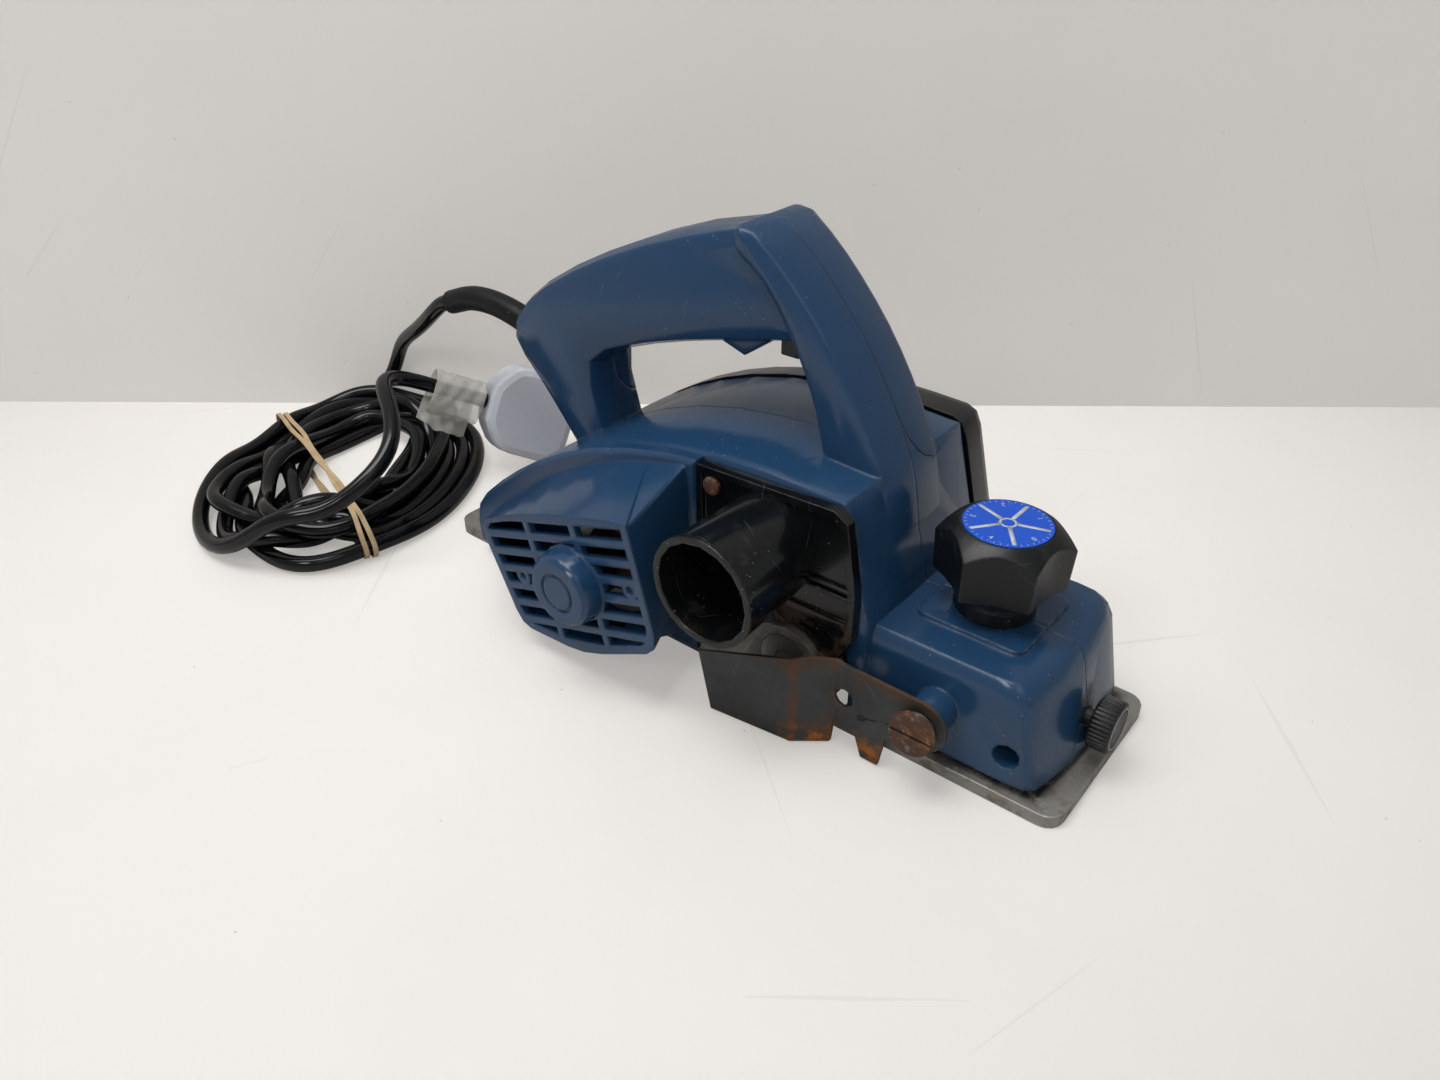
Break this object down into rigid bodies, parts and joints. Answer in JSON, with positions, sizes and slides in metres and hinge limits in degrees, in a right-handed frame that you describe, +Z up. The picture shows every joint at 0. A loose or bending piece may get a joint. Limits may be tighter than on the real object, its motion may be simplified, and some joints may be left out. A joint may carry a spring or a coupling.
{
  "type": "electric hand planer",
  "caption": "Hand-held electric planer with an arched handle, vented side motor, side chip tube, six-sided depth knob, side guard and a heap of cord with a plug.",
  "frame": {"origin": "on the lower face of the rear sole, halfway along the whole sole and across it", "axes": "+X along the sole to the front shoe and depth knob, +Y to the belt cover, -Y to the motor grille, +Z up"},
  "size_m": [0.4625, 0.1853, 0.1753],
  "materials": {
    "housing": "smooth moulded, lightly worn gloss",
    "black_moulding": "smooth moulded, satin gloss with dust",
    "cast_sole": "cast and ground, worn with fine scratches",
    "steel": "machined",
    "rusty_steel": "rusted",
    "dark_sheet": "dark sheet with rusty edges",
    "winding": "lacquered copper",
    "brass": "machined",
    "seal": "matt black",
    "cord": "satin black sheath",
    "dial": "printed blue disc with a pale pattern",
    "plug": "smooth pale grey moulding",
    "band": "matt tan",
    "tag": "translucent paper strip"
  },
  "bodies": {
    "base": {"right_housing": "housing", "left_housing": "housing", "handle_cover": "housing", "belt_cover": "black_moulding", "chip_chute": "black_moulding", "chute_screw": "rusty_steel", "belt_cover_screw_1": "steel", "belt_cover_screw_2": "steel", "handle_screw_1": "steel", "handle_screw_2": "steel", "rear_sole": "cast_sole", "sole_screw_1": "steel", "sole_screw_2": "steel", "sole_screw_3": "steel", "sole_screw_4": "steel", "shoe_spring": "steel", "guard_screw": "rusty_steel", "guard_spring": "dark_sheet", "drum_bearing_right": "steel", "drum_bearing_left": "steel", "drive_belt": "seal", "motor_bearing_right": "steel", "motor_bearing_left": "steel", "stator": "steel", "brush_holder_1": "brass", "brush_holder_2": "brass", "switch_body": "black_moulding", "trigger_pin": "steel", "cord_sleeve": "cord", "cord_coil": "cord", "cord_lead": "cord", "plug_cover": "plug", "plug_body": "plug", "plug_pin_earth": "brass", "plug_pin_live": "brass", "plug_pin_neutral": "brass", "cord_tail": "cord", "rubber_band": "band", "cord_tag": "tag"},
    "drum": {"cutter_drum": "steel", "blade_1": "steel", "blade_2": "steel", "drum_shaft": "steel", "drum_pulley": "steel"},
    "rotor": {"motor_shaft": "steel", "armature": "winding", "commutator": "winding", "fan": "black_moulding", "motor_pulley": "steel"},
    "knob": {"depth_knob": "black_moulding", "knob_dial": "dial", "depth_stud": "steel"},
    "shoe": {"front_shoe": "cast_sole", "shoe_seal": "seal"},
    "switch_lever": {"trigger": "black_moulding"},
    "guard": {"guard_plate": "dark_sheet"},
    "clamp": {"clamp_knob": "black_moulding", "clamp_screw": "steel"}
  },
  "joints": [
    {"name": "drum_spin", "type": "hinge", "parent": "base", "child": "drum", "pos_m": [0.045, 0, 0.02395], "axis": [0, 1, 0], "continuous": true},
    {"name": "motor_spin", "type": "hinge", "parent": "base", "child": "rotor", "pos_m": [-0.03, 0, 0.045], "axis": [0, 1, 0], "continuous": true},
    {"name": "shoe_slide", "type": "slide", "parent": "base", "child": "shoe", "axis": [0, 0, 1], "range_m": [0, 0.002], "deforming": ["shoe_spring"]},
    {"name": "depth_turn", "type": "hinge", "parent": "base", "child": "knob", "pos_m": [0.104, 0, 0.0735], "axis": [0, 0, -1], "range_deg": [0, 288]},
    {"name": "trigger_squeeze", "type": "hinge", "parent": "base", "child": "switch_lever", "pos_m": [-0.014, 0, 0.137], "axis": [0, -1, 0], "range_deg": [0, 6], "stiffness_Nm_per_rad": 0.4, "springref_deg": -5.73},
    {"name": "guard_swing", "type": "hinge", "parent": "base", "child": "guard", "pos_m": [0.105, -0.05, 0.028], "axis": [0, 1, 0], "range_deg": [0, 12], "stiffness_Nm_per_rad": 0.2, "springref_deg": -14.32},
    {"name": "clamp_turn", "type": "hinge", "parent": "base", "child": "clamp", "pos_m": [0.148, 0, 0.02], "axis": [1, 0, 0], "range_deg": [0, 720]}
  ],
  "couplings": [
    {"joint": "motor_spin", "follows": "drum_spin", "ratio": 1.6316},
    {"joint": "depth_turn", "follows": "shoe_slide", "rad_per_m": 2513}
  ]
}
